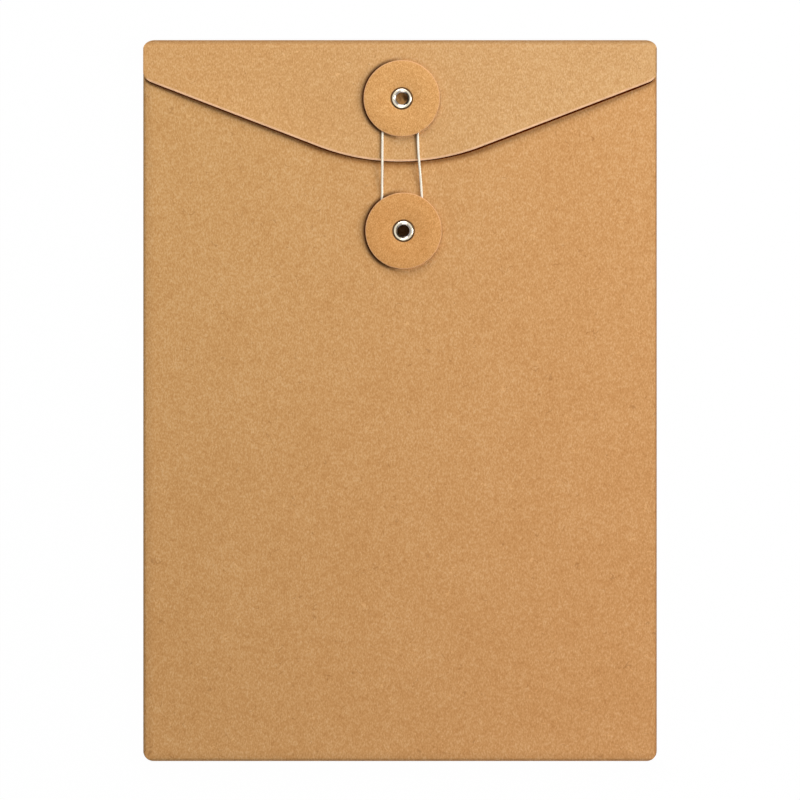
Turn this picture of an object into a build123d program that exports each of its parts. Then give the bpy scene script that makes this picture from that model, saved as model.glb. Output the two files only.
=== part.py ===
"""String tie envelope in kraft card, lying on its back with the flap tied shut.

Millimetres. X is the width, +Y runs up the envelope to the flap fold and +Z is up from the
back panel. The origin is under the middle of the envelope, on the surface that it lies on.

One die-cut blank makes the envelope. It is modelled panel by panel, cut at its creases:
glue tabs, side folds and front panel, bottom fold, back panel, flap fold, flap.
"""

import os
from itertools import combinations
from math import acos, asin, atan2, cos, degrees, hypot, pi, sin, tan

from build123d import *

os.makedirs("parts", exist_ok=True)

# The card and the folded envelope
card = 0.5
width = 235.0
height = 330.0
corner_radius = 4.0
pocket_gap = 4.4  # clear room for papers between the front and back panels
crease_radius = 1.5  # of the two creases along each side, and of the two along the bottom
back_inset = 1.0  # the back panel's cut edges stand this far inside the side folds
mouth_drop = 8.0  # from the top of the envelope down to the front panel's open edge

# The glue tabs inside the side seams
tab_width = 9.0
tab_taper = 6.0  # how far each end of a tab slants back across its width
glue = 0.1
glue_width = 6.0
glue_margin = 4.0  # bare card between a glue line's ends and the tab's slanted ends

# The flap's outline
flap_side = 17.9  # length of the flap's sides, to the sharp corner of each shoulder
flap_depth = 55.6  # from the top of the envelope down to the flap's round tip
flap_tip_radius = 104.0
shoulder_radius = 5.0

# The two card discs, and where they stand
disc_diameter = 35.0
disc_thickness = 0.8
disc_edge_radius = 0.15
disc_drop = 26.9  # from the top of the envelope down to the flap's disc
disc_spacing = 60.5  # from the flap's disc down to the pocket's disc
flap_disc_shift = 0.8  # each disc was punched a little right of the middle
pocket_disc_shift = 1.6

# The metal eyelets that the discs turn on
eyelet_bore = 5.4
eyelet_wall = 0.25
eyelet_flange = 9.0
eyelet_rise = 0.5  # height of the rolled flange over the disc
clinch_roll = 0.5  # outer radius of the roll that closes the eyelet under the card
turning_clearance = 0.05  # round an eyelet's barrel
seat_clearance = 0.1  # between a flange and its disc
clinch_clearance = 0.5  # between the flap eyelet's clinch and the front panel

# The string and how it is wound
string_diameter = 1.0
string_play = 0.12  # over and under the string, where it lies beneath a disc
tie_start = 3.9  # the string begins this far left of the flap eyelet's middle
tie_radius = 4.35  # first half turn round the flap eyelet
winding_radius = 5.3  # second half turn
strand_left = 8.8  # left strand, from the middle of the flap's disc
wrap_radius = 7.0  # the returning right strand goes round the flap eyelet here
wrap_growth = 0.75  # each quarter of that wrap is this much wider than the last
wrap_end_angle = 65.0  # how much of its second quarter is wound
loop_radius = 9.25  # round the pocket eyelet
loop_shift = -0.65  # the loop's middle, right of the pocket eyelet's
sway_run = 4.5  # straight run before the left strand sways out, and again after it
sway_length = 11.6  # the sway's length down the envelope
sway_radius = 11.0
edge_run = 2.0  # the strands dip this far past the flap's edge and before the pocket's disc
dip_radius = 20.0
knot_radius = 0.95
knot_height = 1.05
knot_edge_radius = 0.45
knot_left = 0.15  # the knot's middle, from the string's first end
knot_up = 0.45

# Levels and places that follow from these
half_width = width / 2
half_height = height / 2
front_top = 2 * card + pocket_gap
tab_bottom = card + glue
flap_bottom = front_top + clinch_roll + clinch_clearance
flap_top = flap_bottom + card
flap_axis_height = flap_top / 2
flap_axis_y = half_height - flap_axis_height
mouth_y = half_height - mouth_drop
disc_lift = string_diameter + 2 * string_play
bore_radius = eyelet_bore / 2
barrel_radius = bore_radius + eyelet_wall
hole_radius = barrel_radius + turning_clearance
flap_disc_at = (flap_disc_shift, half_height - disc_drop)
pocket_disc_at = (pocket_disc_shift, flap_disc_at[1] - disc_spacing)
shoulder_y = half_height - flap_side
tip_y = half_height - flap_depth

# The slope at which the flap's lower edges run from its shoulders into its round tip
tip_centre_rise = tip_y + flap_tip_radius - shoulder_y
sight = hypot(half_width, tip_centre_rise)
flap_slope = atan2(half_width, tip_centre_rise) - acos(flap_tip_radius / sight)
apex_y = shoulder_y - half_width * tan(flap_slope)


def export(piece, name):
    piece.part.label = name
    export_step(piece.part, f"parts/{name}.step")


# Back panel: the longest flat of the blank, from the bottom fold to the flap fold
with BuildPart() as back_panel:
    back_length = flap_axis_y + half_height - crease_radius
    with BuildSketch() as back_outline:
        with Locations((0, flap_axis_y - back_length / 2)):
            Rectangle(width - 2 * back_inset, back_length)
        chamfer(back_outline.vertices().group_by(Axis.Y)[0], crease_radius - back_inset)
    extrude(amount=card)
export(back_panel, "back_panel")

# Front panel: between the side folds, open at the mouth and pierced for the pocket's eyelet
with BuildPart() as front_panel:
    front_length = mouth_y + half_height - crease_radius
    with BuildSketch(Plane.XY.offset(front_top - card)):
        with Locations((0, mouth_y - front_length / 2)):
            Rectangle(width - 2 * crease_radius, front_length)
        with Locations(pocket_disc_at):
            Circle(hole_radius, mode=Mode.SUBTRACT)
    extrude(amount=card)
export(front_panel, "front_panel")

# Bottom fold: creased twice, from front panel to back panel, mitred into the side folds
with BuildPart() as bottom_fold:
    with BuildSketch(Plane.YZ):
        with Locations((0, front_top / 2)):
            RectangleRounded(height, front_top, crease_radius)
            RectangleRounded(height - 2 * card, front_top - 2 * card, crease_radius - card, mode=Mode.SUBTRACT)
        with Locations((-half_height + crease_radius, front_top / 2)):
            Rectangle(height, front_top, align=(Align.MIN, Align.CENTER), mode=Mode.SUBTRACT)
    extrude(amount=half_width, both=True)
    with BuildSketch():
        RectangleRounded(width, height, corner_radius)
        with BuildLine():
            Polyline(
                (-half_width, -half_height),
                (half_width, -half_height),
                (half_width - front_top, -half_height + front_top),
                (-half_width + front_top, -half_height + front_top),
                close=True,
            )
        make_face(mode=Mode.INTERSECT)
    extrude(amount=front_top, mode=Mode.INTERSECT)
export(bottom_fold, "bottom_fold")

# The sides are alike: a fold, a glue tab inside the pocket and the glue line under the tab
tab_edge = half_width - crease_radius
tab_foot_y = -half_height + crease_radius
for side, sign in (("left", -1), ("right", 1)):
    # Side fold: from the front panel down and in to the glue tab
    with BuildPart() as side_fold:
        with BuildSketch(Plane((0, 0, 0), x_dir=(sign, 0, 0), z_dir=(0, -sign, 0))):
            with BuildLine():
                upper = (tab_edge, front_top - crease_radius)
                lower = (tab_edge, tab_bottom + crease_radius)
                crease_down = CenterArc(upper, crease_radius, 90, -90)
                crease_in = CenterArc(lower, crease_radius, 0, -90)
                Line(crease_down @ 1, crease_in @ 0)
                Line(crease_in @ 1, (tab_edge, tab_bottom + card))
                inside_up = CenterArc(lower, crease_radius - card, -90, 90)
                inside_out = CenterArc(upper, crease_radius - card, 0, 90)
                Line(inside_up @ 1, inside_out @ 0)
                Line(inside_out @ 1, crease_down @ 0)
            make_face()
        extrude(amount=half_height, both=True)
        with BuildSketch():
            RectangleRounded(width, height, corner_radius)
            with BuildLine():
                Polyline(
                    (sign * half_width, -half_height),
                    (sign * half_width, mouth_y),
                    (sign * (half_width - front_top), mouth_y),
                    (sign * (half_width - front_top), -half_height + front_top),
                    close=True,
                )
            make_face(mode=Mode.INTERSECT)
        extrude(amount=front_top, mode=Mode.INTERSECT)
    export(side_fold, f"{side}_side_fold")

    with BuildPart() as glue_tab:
        with BuildSketch(Plane.XY.offset(tab_bottom)):
            with BuildLine():
                Polyline(
                    (sign * tab_edge, tab_foot_y),
                    (sign * tab_edge, mouth_y),
                    (sign * (tab_edge - tab_width), mouth_y - tab_taper),
                    (sign * (tab_edge - tab_width), tab_foot_y + tab_taper),
                    close=True,
                )
            make_face()
        extrude(amount=card)
    export(glue_tab, f"{side}_glue_tab")

    with BuildPart() as seam_glue:
        glue_length = mouth_y - tab_foot_y - 2 * (tab_taper + glue_margin)
        with BuildSketch(Plane.XY.offset(card)):
            with Locations((sign * (tab_edge - tab_width / 2), (mouth_y + tab_foot_y) / 2)):
                Rectangle(glue_width, glue_length)
        extrude(amount=glue)
    export(seam_glue, f"{side}_seam_glue")

# Flap fold: half round about the axis that the flap turns on, from back panel to flap
with BuildPart() as flap_fold:
    with BuildSketch(Plane.YZ):
        with Locations((flap_axis_y, flap_axis_height)):
            Circle(flap_axis_height)
            Circle(flap_axis_height - card, mode=Mode.SUBTRACT)
            Rectangle(flap_top, flap_top, align=(Align.MAX, Align.CENTER), mode=Mode.SUBTRACT)
    extrude(amount=half_width, both=True)
    with BuildSketch():
        RectangleRounded(width, height, corner_radius)
    extrude(amount=flap_top, mode=Mode.INTERSECT)
    with BuildSketch():
        with Locations((-half_width, flap_axis_y), (half_width, flap_axis_y)):
            Rectangle(2 * back_inset, 2 * flap_axis_height)
    extrude(amount=flap_axis_height, mode=Mode.SUBTRACT)
export(flap_fold, "flap_fold")

# Flap: straight sides, rounded shoulders and two sloping edges that run into a wide round tip
with BuildPart() as flap:
    with BuildSketch(Plane.XY.offset(flap_bottom)) as flap_outline:
        with BuildLine():
            Polyline(
                (-half_width, half_height),
                (-half_width, shoulder_y),
                (0, apex_y),
                (half_width, shoulder_y),
                (half_width, half_height),
                close=True,
            )
        make_face()
        fillet(flap_outline.vertices().group_by(Axis.Y)[0], flap_tip_radius)
        fillet(flap_outline.vertices().filter_by_position(Axis.Y, shoulder_y, shoulder_y), shoulder_radius)
        fillet(flap_outline.vertices().group_by(Axis.Y)[-1], corner_radius)
        with Locations((0, flap_axis_y)):
            Rectangle(width, height, align=(Align.CENTER, Align.MIN), mode=Mode.SUBTRACT)
        with Locations(flap_disc_at):
            Circle(hole_radius, mode=Mode.SUBTRACT)
    extrude(amount=card)
export(flap, "flap")

# Each closure is a card disc on a rolled eyelet, lifted off its card by the string's thickness
crown_radius = ((eyelet_flange / 2 - bore_radius - eyelet_rise) ** 2 + eyelet_rise**2) / (2 * eyelet_rise)
for owner, disc_at, card_top in (("flap", flap_disc_at, flap_top), ("pocket", pocket_disc_at, front_top)):
    disc_bottom = card_top + disc_lift
    seat = disc_bottom + disc_thickness + seat_clearance
    with BuildPart() as disc:
        with BuildSketch(Plane.XY.offset(disc_bottom)):
            with Locations(disc_at):
                Circle(disc_diameter / 2)
                Circle(hole_radius, mode=Mode.SUBTRACT)
        extrude(amount=disc_thickness)
        rims = disc.edges().filter_by(GeomType.CIRCLE).group_by(SortBy.RADIUS)[-1]
        fillet(rims, disc_edge_radius)
    export(disc, f"{owner}_disc")

    # Eyelet: sheet metal rolled over the disc, down through the card and out again beneath it
    with BuildPart() as eyelet:
        under = card_top - card
        lip = bore_radius + eyelet_rise
        crown = (lip, seat + eyelet_rise - crown_radius)
        reach = degrees(asin((eyelet_flange / 2 - lip) / crown_radius))
        inner_reach = degrees(acos((crown_radius - eyelet_rise) / (crown_radius - eyelet_wall)))
        roll = (bore_radius + clinch_roll, under)
        with BuildSketch(Plane((*disc_at, 0), x_dir=(1, 0, 0), z_dir=(0, -1, 0))):
            with BuildLine():
                brim = CenterArc(crown, crown_radius, 90 - reach, reach)
                rim_bend = CenterArc((lip, seat), eyelet_rise, 90, 90)
                Line(rim_bend @ 1, (bore_radius, under))
                clinch = CenterArc(roll, clinch_roll, 180, 180)
                clinch_inside = CenterArc(roll, clinch_roll - eyelet_wall, 0, -180)
                Line(clinch @ 1, clinch_inside @ 0)
                Line(clinch_inside @ 1, (barrel_radius, seat))
                bend_inside = CenterArc((lip, seat), eyelet_rise - eyelet_wall, 180, -90)
                brim_inside = CenterArc(crown, crown_radius - eyelet_wall, 90, -inner_reach)
                Line(brim_inside @ 1, brim @ 0)
            make_face()
        revolve(axis=Axis((*disc_at, 0), (0, 0, 1)))
    export(eyelet, f"{owner}_eyelet")


def tangent_point(outside, centre, radius, side):
    """Where a line from a point outside a circle touches it, on the left (-1) or the right (1)."""
    dx, dy = outside[0] - centre[0], outside[1] - centre[1]
    angle = atan2(dy, dx) - side * acos(radius / hypot(dx, dy))
    return centre[0] + radius * cos(angle), centre[1] + radius * sin(angle)


# The string's route, anticlockwise seen from above: from its knot round the flap eyelet, down the
# left strand, round the pocket eyelet, up the right strand and round the flap eyelet outside itself
upper_level = flap_top + string_play + string_diameter / 2
lower_level = front_top + string_play + string_diameter / 2
flap_x, flap_y = flap_disc_at
winding_left = flap_x - tie_start + 2 * tie_radius - 2 * winding_radius
dip_top = tip_y - edge_run
dip_foot = pocket_disc_at[1] + disc_diameter / 2 + edge_run
loop_centre = (pocket_disc_at[0] + loop_shift, pocket_disc_at[1])


def at_y(a, b, y):
    """The point at height y on the line from a to b."""
    return a[0] + (b[0] - a[0]) * (y - a[1]) / (b[1] - a[1]), y


with BuildPart() as tie_string:
    with BuildLine() as route:
        start = (flap_x - tie_start, flap_y, upper_level)
        tie_turn = JernArc(start, (0, -1, 0), tie_radius, 180)
        winding_turn = JernArc(tie_turn @ 1, tie_turn % 1, winding_radius, 180)
        strand_top = (flap_x - strand_left, flap_y - sway_length)
        strand_foot = tangent_point(strand_top, loop_centre, loop_radius, -1)
        left_strand = FilletPolyline(
            winding_turn @ 1,
            (winding_left, flap_y - sway_run, upper_level),
            (*strand_top, upper_level),
            (*at_y(strand_top, strand_foot, dip_top), upper_level),
            (*at_y(strand_top, strand_foot, dip_foot), lower_level),
            (*strand_foot, lower_level),
            radius=(sway_radius, sway_radius, dip_radius, dip_radius),
        )
        rise = hypot(flap_x - loop_centre[0], flap_y - loop_centre[1])
        lean = asin((loop_radius - wrap_radius) / rise) - atan2(flap_x - loop_centre[0], rise)
        heading_down = degrees(atan2(strand_foot[1] - strand_top[1], strand_foot[0] - strand_top[0]))
        loop_turn = JernArc(left_strand @ 1, left_strand % 1, loop_radius, 90 + degrees(lean) - heading_down)
        strand_rise = (loop_turn @ 1).X, (loop_turn @ 1).Y
        wrap_start = (flap_x + wrap_radius * cos(lean), flap_y + wrap_radius * sin(lean))
        right_strand = FilletPolyline(
            loop_turn @ 1,
            (*at_y(strand_rise, wrap_start, dip_foot), lower_level),
            (*at_y(strand_rise, wrap_start, dip_top), upper_level),
            (*wrap_start, upper_level),
            radius=(dip_radius, dip_radius),
        )
        first_wrap = JernArc(right_strand @ 1, right_strand % 1, wrap_radius, 90)
        last_wrap = JernArc(first_wrap @ 1, first_wrap % 1, wrap_radius + wrap_growth, wrap_end_angle)
    with BuildSketch(Plane(start, z_dir=(0, -1, 0))):
        Circle(string_diameter / 2)
    sweep(path=route.wire())
export(tie_string, "tie_string")

# Knot: pulled tight beside the eyelet and pressed flat under the disc, where the string begins
with BuildPart() as string_knot:
    knot_at = (flap_x - tie_start - knot_left, flap_y + knot_up, upper_level)
    with BuildSketch(Plane(knot_at)):
        Circle(knot_radius)
        with Locations((0, -knot_up)):
            Rectangle(2 * knot_radius, knot_radius, align=(Align.CENTER, Align.MAX), mode=Mode.SUBTRACT)
    extrude(amount=knot_height / 2, both=True)
    fillet(string_knot.edges().filter_by(GeomType.CIRCLE), knot_edge_radius)
export(string_knot, "string_knot")

# The string's bends, its volume against section times length, and its least gap to itself
line = route.wire()
turns = line.edges().filter_by(GeomType.CIRCLE)
print("string bends, mm:", sorted(round(edge.radius, 2) for edge in turns))
section = pi * (string_diameter / 2) ** 2
print(f"string length {line.length:.1f} mm, volume {tie_string.part.volume:.2f} mm3,")
print(f"section times length {section * line.length:.2f} mm3")
step = string_diameter / 2
count = int(line.length / step)
places = [line @ (n / count) for n in range(count + 1)]
apart = [
    (places[b] - places[a]).length
    for a, b in combinations(range(count + 1), 2)
    if (b - a) * step > 4 * string_diameter
]
print(f"least gap of the string to itself {min(apart) - string_diameter:.2f} mm")
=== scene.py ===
"""String tie envelope in kraft card: the dressed model, its camera and its light.

Metres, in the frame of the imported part: X is the width, +Y runs up to the flap fold and +Z is up
from the back panel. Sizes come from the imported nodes, or from the named values below.
"""

from math import acos, asin, atan2, cos, hypot, pi, radians, sin, sqrt, tan

import bpy
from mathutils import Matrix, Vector
from mathutils.geometry import tessellate_polygon


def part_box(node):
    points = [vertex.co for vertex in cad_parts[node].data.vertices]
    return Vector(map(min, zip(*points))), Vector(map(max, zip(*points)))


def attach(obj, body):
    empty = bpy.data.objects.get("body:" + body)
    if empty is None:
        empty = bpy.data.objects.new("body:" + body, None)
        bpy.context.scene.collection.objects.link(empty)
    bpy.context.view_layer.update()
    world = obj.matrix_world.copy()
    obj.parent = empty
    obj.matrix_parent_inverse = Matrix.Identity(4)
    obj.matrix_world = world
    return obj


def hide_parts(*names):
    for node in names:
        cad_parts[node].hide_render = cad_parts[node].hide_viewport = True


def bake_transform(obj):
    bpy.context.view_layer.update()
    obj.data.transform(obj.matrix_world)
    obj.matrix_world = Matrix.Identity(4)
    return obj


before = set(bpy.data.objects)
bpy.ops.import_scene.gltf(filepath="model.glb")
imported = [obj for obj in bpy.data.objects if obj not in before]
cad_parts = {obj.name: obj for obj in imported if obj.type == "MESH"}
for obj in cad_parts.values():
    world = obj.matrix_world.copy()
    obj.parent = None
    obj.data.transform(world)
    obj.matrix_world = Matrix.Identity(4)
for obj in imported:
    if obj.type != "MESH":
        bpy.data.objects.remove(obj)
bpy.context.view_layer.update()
scene = bpy.context.scene

MM = 0.001


def middle(node):
    low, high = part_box(node)
    return (low + high) / 2


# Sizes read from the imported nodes
front_low, front_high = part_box("front_panel")
back_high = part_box("back_panel")[1]
flap_low, flap_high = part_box("flap")
tab_low, tab_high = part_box("right_glue_tab")
string_low, string_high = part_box("tie_string")
half_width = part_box("right_side_fold")[1].x
half_height = -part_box("bottom_fold")[0].y
card = front_high.z - front_low.z
front_top = front_high.z
flat_x = front_high.x
flat_y = front_low.y
mouth_y = front_high.y
crease_radius = half_width - flat_x
tab_width = tab_high.x - tab_low.x
axis_y = flap_high.y
axis_z = flap_high.z / 2
flap_hub = middle("flap_disc")
pocket_hub = middle("pocket_disc")
disc_rim = (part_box("flap_disc")[1].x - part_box("flap_disc")[0].x) / 2

# Sizes of the card's outlines
corner_radius = 4.8 * MM  # of the pocket's bottom corners
fold_corner_width = 5.6 * MM  # of the corners at the ends of the flap's fold
fold_corner_depth = 4.4 * MM
tab_taper = 6.0 * MM
hole_radius = 3.0 * MM
flap_side = 17.9 * MM
flap_tip_radius = 104.0 * MM
shoulder_radius = 5.0 * MM
fold_lead = 0.5 * MM  # flat card that the flap's fold carries on each side of its half round
fold_dent = 0.04 * MM  # how far the flap's fold is pressed in at its middle
flap_spring = 0.6 * MM  # how far the flap's sloping edges spring up

# Sizes of the string
string_diameter = 1.0 * MM
string_crown = 1.1 * string_diameter  # over the plies, which are grooved between them
string_lay = 3.6 * MM
string_step = 0.15 * MM
knot_crown, knot_lay, knot_step = 0.42 * MM, 1.8 * MM, 0.05 * MM
plies = 3
ply_groove = 0.15
# Its strands between the discs: their x from the flap's hub, at a drop below it, and their slant
strand_drop = 35.0 * MM
strands = ((-8.93 * MM, 0.006), (8.38 * MM, -0.074))


# Nodes of the string and of the finishes


def connect(tree, node, inputs):
    """Gives a node its inputs, each a plain value or another node's output."""
    for key, value in inputs.items():
        if isinstance(value, bpy.types.NodeSocket):
            tree.links.new(value, node.inputs[key])
        else:
            node.inputs[key].default_value = value


def add_node(tree, kind, inputs=None, **settings):
    made = tree.nodes.new(kind)
    for key, value in settings.items():
        setattr(made, key, value)
    connect(tree, made, inputs or {})
    return made


def calculate(tree, operation, *values):
    inputs = dict(enumerate(values))
    return add_node(tree, "ShaderNodeMath", inputs, operation=operation).outputs[0]


# Card


class CardSkin:
    """The outer face of a piece of card, each of its points paired with one on the inner face."""

    same_place = 7  # decimals of a metre that tell points apart

    def __init__(self):
        self.outer = []
        self.inner = []
        self.fold_shade = []
        self.faces = []
        self.known = {}

    def point(self, outer, inner, fold_shade=0.0):
        """The number of a point, shared by all faces that meet there. Card near a crease gets painted
        shade.
        """
        key = tuple(round(place, self.same_place) for place in outer)
        if key not in self.known:
            self.known[key] = len(self.outer)
            self.outer.append(outer)
            self.inner.append(inner)
            self.fold_shade.append(fold_shade)
        return self.known[key]

    def face(self, corners, slot=0):
        self.faces.append((tuple(corners), slot))

    def grid(self, rows, holed=None, hole=None):
        """Faces between rows of points, listed from the top down. The cell holed gets a hole."""
        for r in range(len(rows) - 1):
            for c in range(len(rows[r]) - 1):
                cell = [rows[r][c], rows[r + 1][c], rows[r + 1][c + 1], rows[r][c + 1]]
                if (r, c) == holed:
                    self.fill(cell, hole)
                else:
                    self.face(cell)

    def fill(self, loop, hole):
        """Flat faces between an outline and a hole in it, seen from outside."""
        numbers = loop + hole
        places = [[Vector(self.outer[n]) for n in ring] for ring in (loop, hole)]
        for a, b, c in tessellate_polygon(places):
            corners = [numbers[a], numbers[b], numbers[c]]
            p, q, r = (Vector(self.outer[n]) for n in corners)
            facing = (q - p).cross(r - p).z
            self.face(corners if facing > 0 else corners[::-1])

    def build(self, name, finishes):
        """A closed piece: its inner face in the first finish and its cut edges in the second."""
        count = len(self.outer)
        edges = {(a, b) for loop, _ in self.faces for a, b in zip(loop, loop[1:] + loop[:1])}
        walls = [(b, a, a + count, b + count) for a, b in sorted(edges) if (b, a) not in edges]
        outside = [loop for loop, _ in self.faces]
        inside = [tuple(n + count for n in reversed(loop)) for loop in outside]
        mesh = bpy.data.meshes.new(name)
        mesh.from_pydata(self.outer + self.inner, [], outside + inside + walls)
        slots = [slot for _, slot in self.faces] + [0] * len(inside) + [1] * len(walls)
        mesh.polygons.foreach_set("material_index", slots)
        # Painted shade near the creases, which the finishes read as the crease attribute
        painted_fold_shade = mesh.attributes.new("crease", "FLOAT", "POINT")
        painted_fold_shade.data.foreach_set("value", self.fold_shade + [0.0] * count)
        return piece(name, mesh, finishes)


def piece(name, mesh, finishes, sharp=35):
    """An object at the origin with smooth faces, parted where they meet at a sharp angle."""
    for finish in finishes:
        mesh.materials.append(finish)
    mesh.polygons.foreach_set("use_smooth", [True] * len(mesh.polygons))
    mesh.set_sharp_from_angle(angle=radians(sharp))
    mesh.update()
    obj = bpy.data.objects.new(name, mesh)
    scene.collection.objects.link(obj)
    return obj


def steps(first, last, count):
    """Evenly spaced values after first, up to last."""
    return [first + (last - first) * n / count for n in range(1, count + 1)]


def smooth(share):
    """Eases from 0 to 1 as share does, and stays there outside that range."""
    share = min(max(share, 0.0), 1.0)
    return share * share * (3 - 2 * share)


def eyelet_hole(skin, hub, top, bottom, count=48):
    """The points of an eyelet's hole, anticlockwise."""
    ring = []
    for n in range(count):
        x = hub.x + hole_radius * cos(2 * pi * n / count)
        y = hub.y + hole_radius * sin(2 * pi * n / count)
        ring.append(skin.point((x, y, top), (x, y, bottom)))
    return ring


# The pocket: front panel, side folds, glue tabs, bottom fold and back panel in one sheet
corner_meet = corner_radius * (1 - sqrt(0.5))
mitre_turn = asin((crease_radius - corner_meet) / crease_radius)
crease_length = crease_radius * pi / 2
side_wall = front_top - tab_low.z - 2 * crease_radius
bottom_wall = front_top - 2 * crease_radius
side_length = 2 * crease_length + side_wall
bottom_length = 2 * crease_length + bottom_wall


def corner_cut(inset):
    """How far from one edge a corner's rounding ends a fold, at inset from the other edge."""
    rounding = 0.0
    if inset < corner_radius:
        rounding = corner_radius - sqrt(corner_radius**2 - (corner_radius - inset) ** 2)
    return max(inset, rounding)


def folded(past, wall, depth):
    """How far out and how far down the sheet is, at past beyond the front panel's edge and depth under
    its outer face: on the panel, round a crease, down the wall, round the next crease and back in."""
    if past <= 0:
        return past, depth
    radius = crease_radius - depth
    if past <= crease_length:
        turn = past / crease_radius
        return radius * sin(turn), crease_radius - radius * cos(turn)
    past -= crease_length
    if past <= wall:
        return radius, crease_radius + past
    past -= wall
    if past <= crease_length:
        turn = past / crease_radius
        return radius * cos(turn), crease_radius + wall + radius * sin(turn)
    return crease_length - past, 2 * crease_radius + wall - depth


def across(s, depth):
    """(x, z) of the sheet at s along its width, depth under its outer face."""
    out, down = folded(abs(s) - flat_x, side_wall, depth)
    return (flat_x + out if s > 0 else -flat_x - out), front_top - down


def along(t, depth):
    """(y, z) of the sheet at t along its length, depth under its outer face."""
    out, down = folded(flat_y - t, bottom_wall, depth)
    return flat_y - out, front_top - down


def tab_share(s):
    """How far across the glue tab s lies, from 0 at its fold to 1 at its inner edge."""
    return max(0.0, (abs(s) - flat_x - side_length) / tab_width)


def side_foot(s, depth):
    """Where the sheet's side ends above the bottom corner: at its mitre, rounding or taper."""
    past = abs(s) - flat_x
    if past <= mitre_turn * crease_radius:
        return flat_y - (crease_radius - depth) * sin(max(0.0, past) / crease_radius)
    if tab_share(s) > 0:
        return flat_y + tab_taper * tab_share(s)
    return -half_height + corner_cut(half_width - abs(across(s, 0)[0]))


def bottom_end(t, depth):
    """Half the sheet's width at t, past the front panel: on the bottom fold and the back panel."""
    past = flat_y - t
    if past > bottom_length:
        return min(back_high.x, flat_x + past - bottom_length)
    turn = min(past, bottom_length - past) / crease_radius
    if turn <= mitre_turn:
        return flat_x + (crease_radius - depth) * sin(turn)
    return half_width - corner_cut(half_height + along(t, 0)[0])


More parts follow.
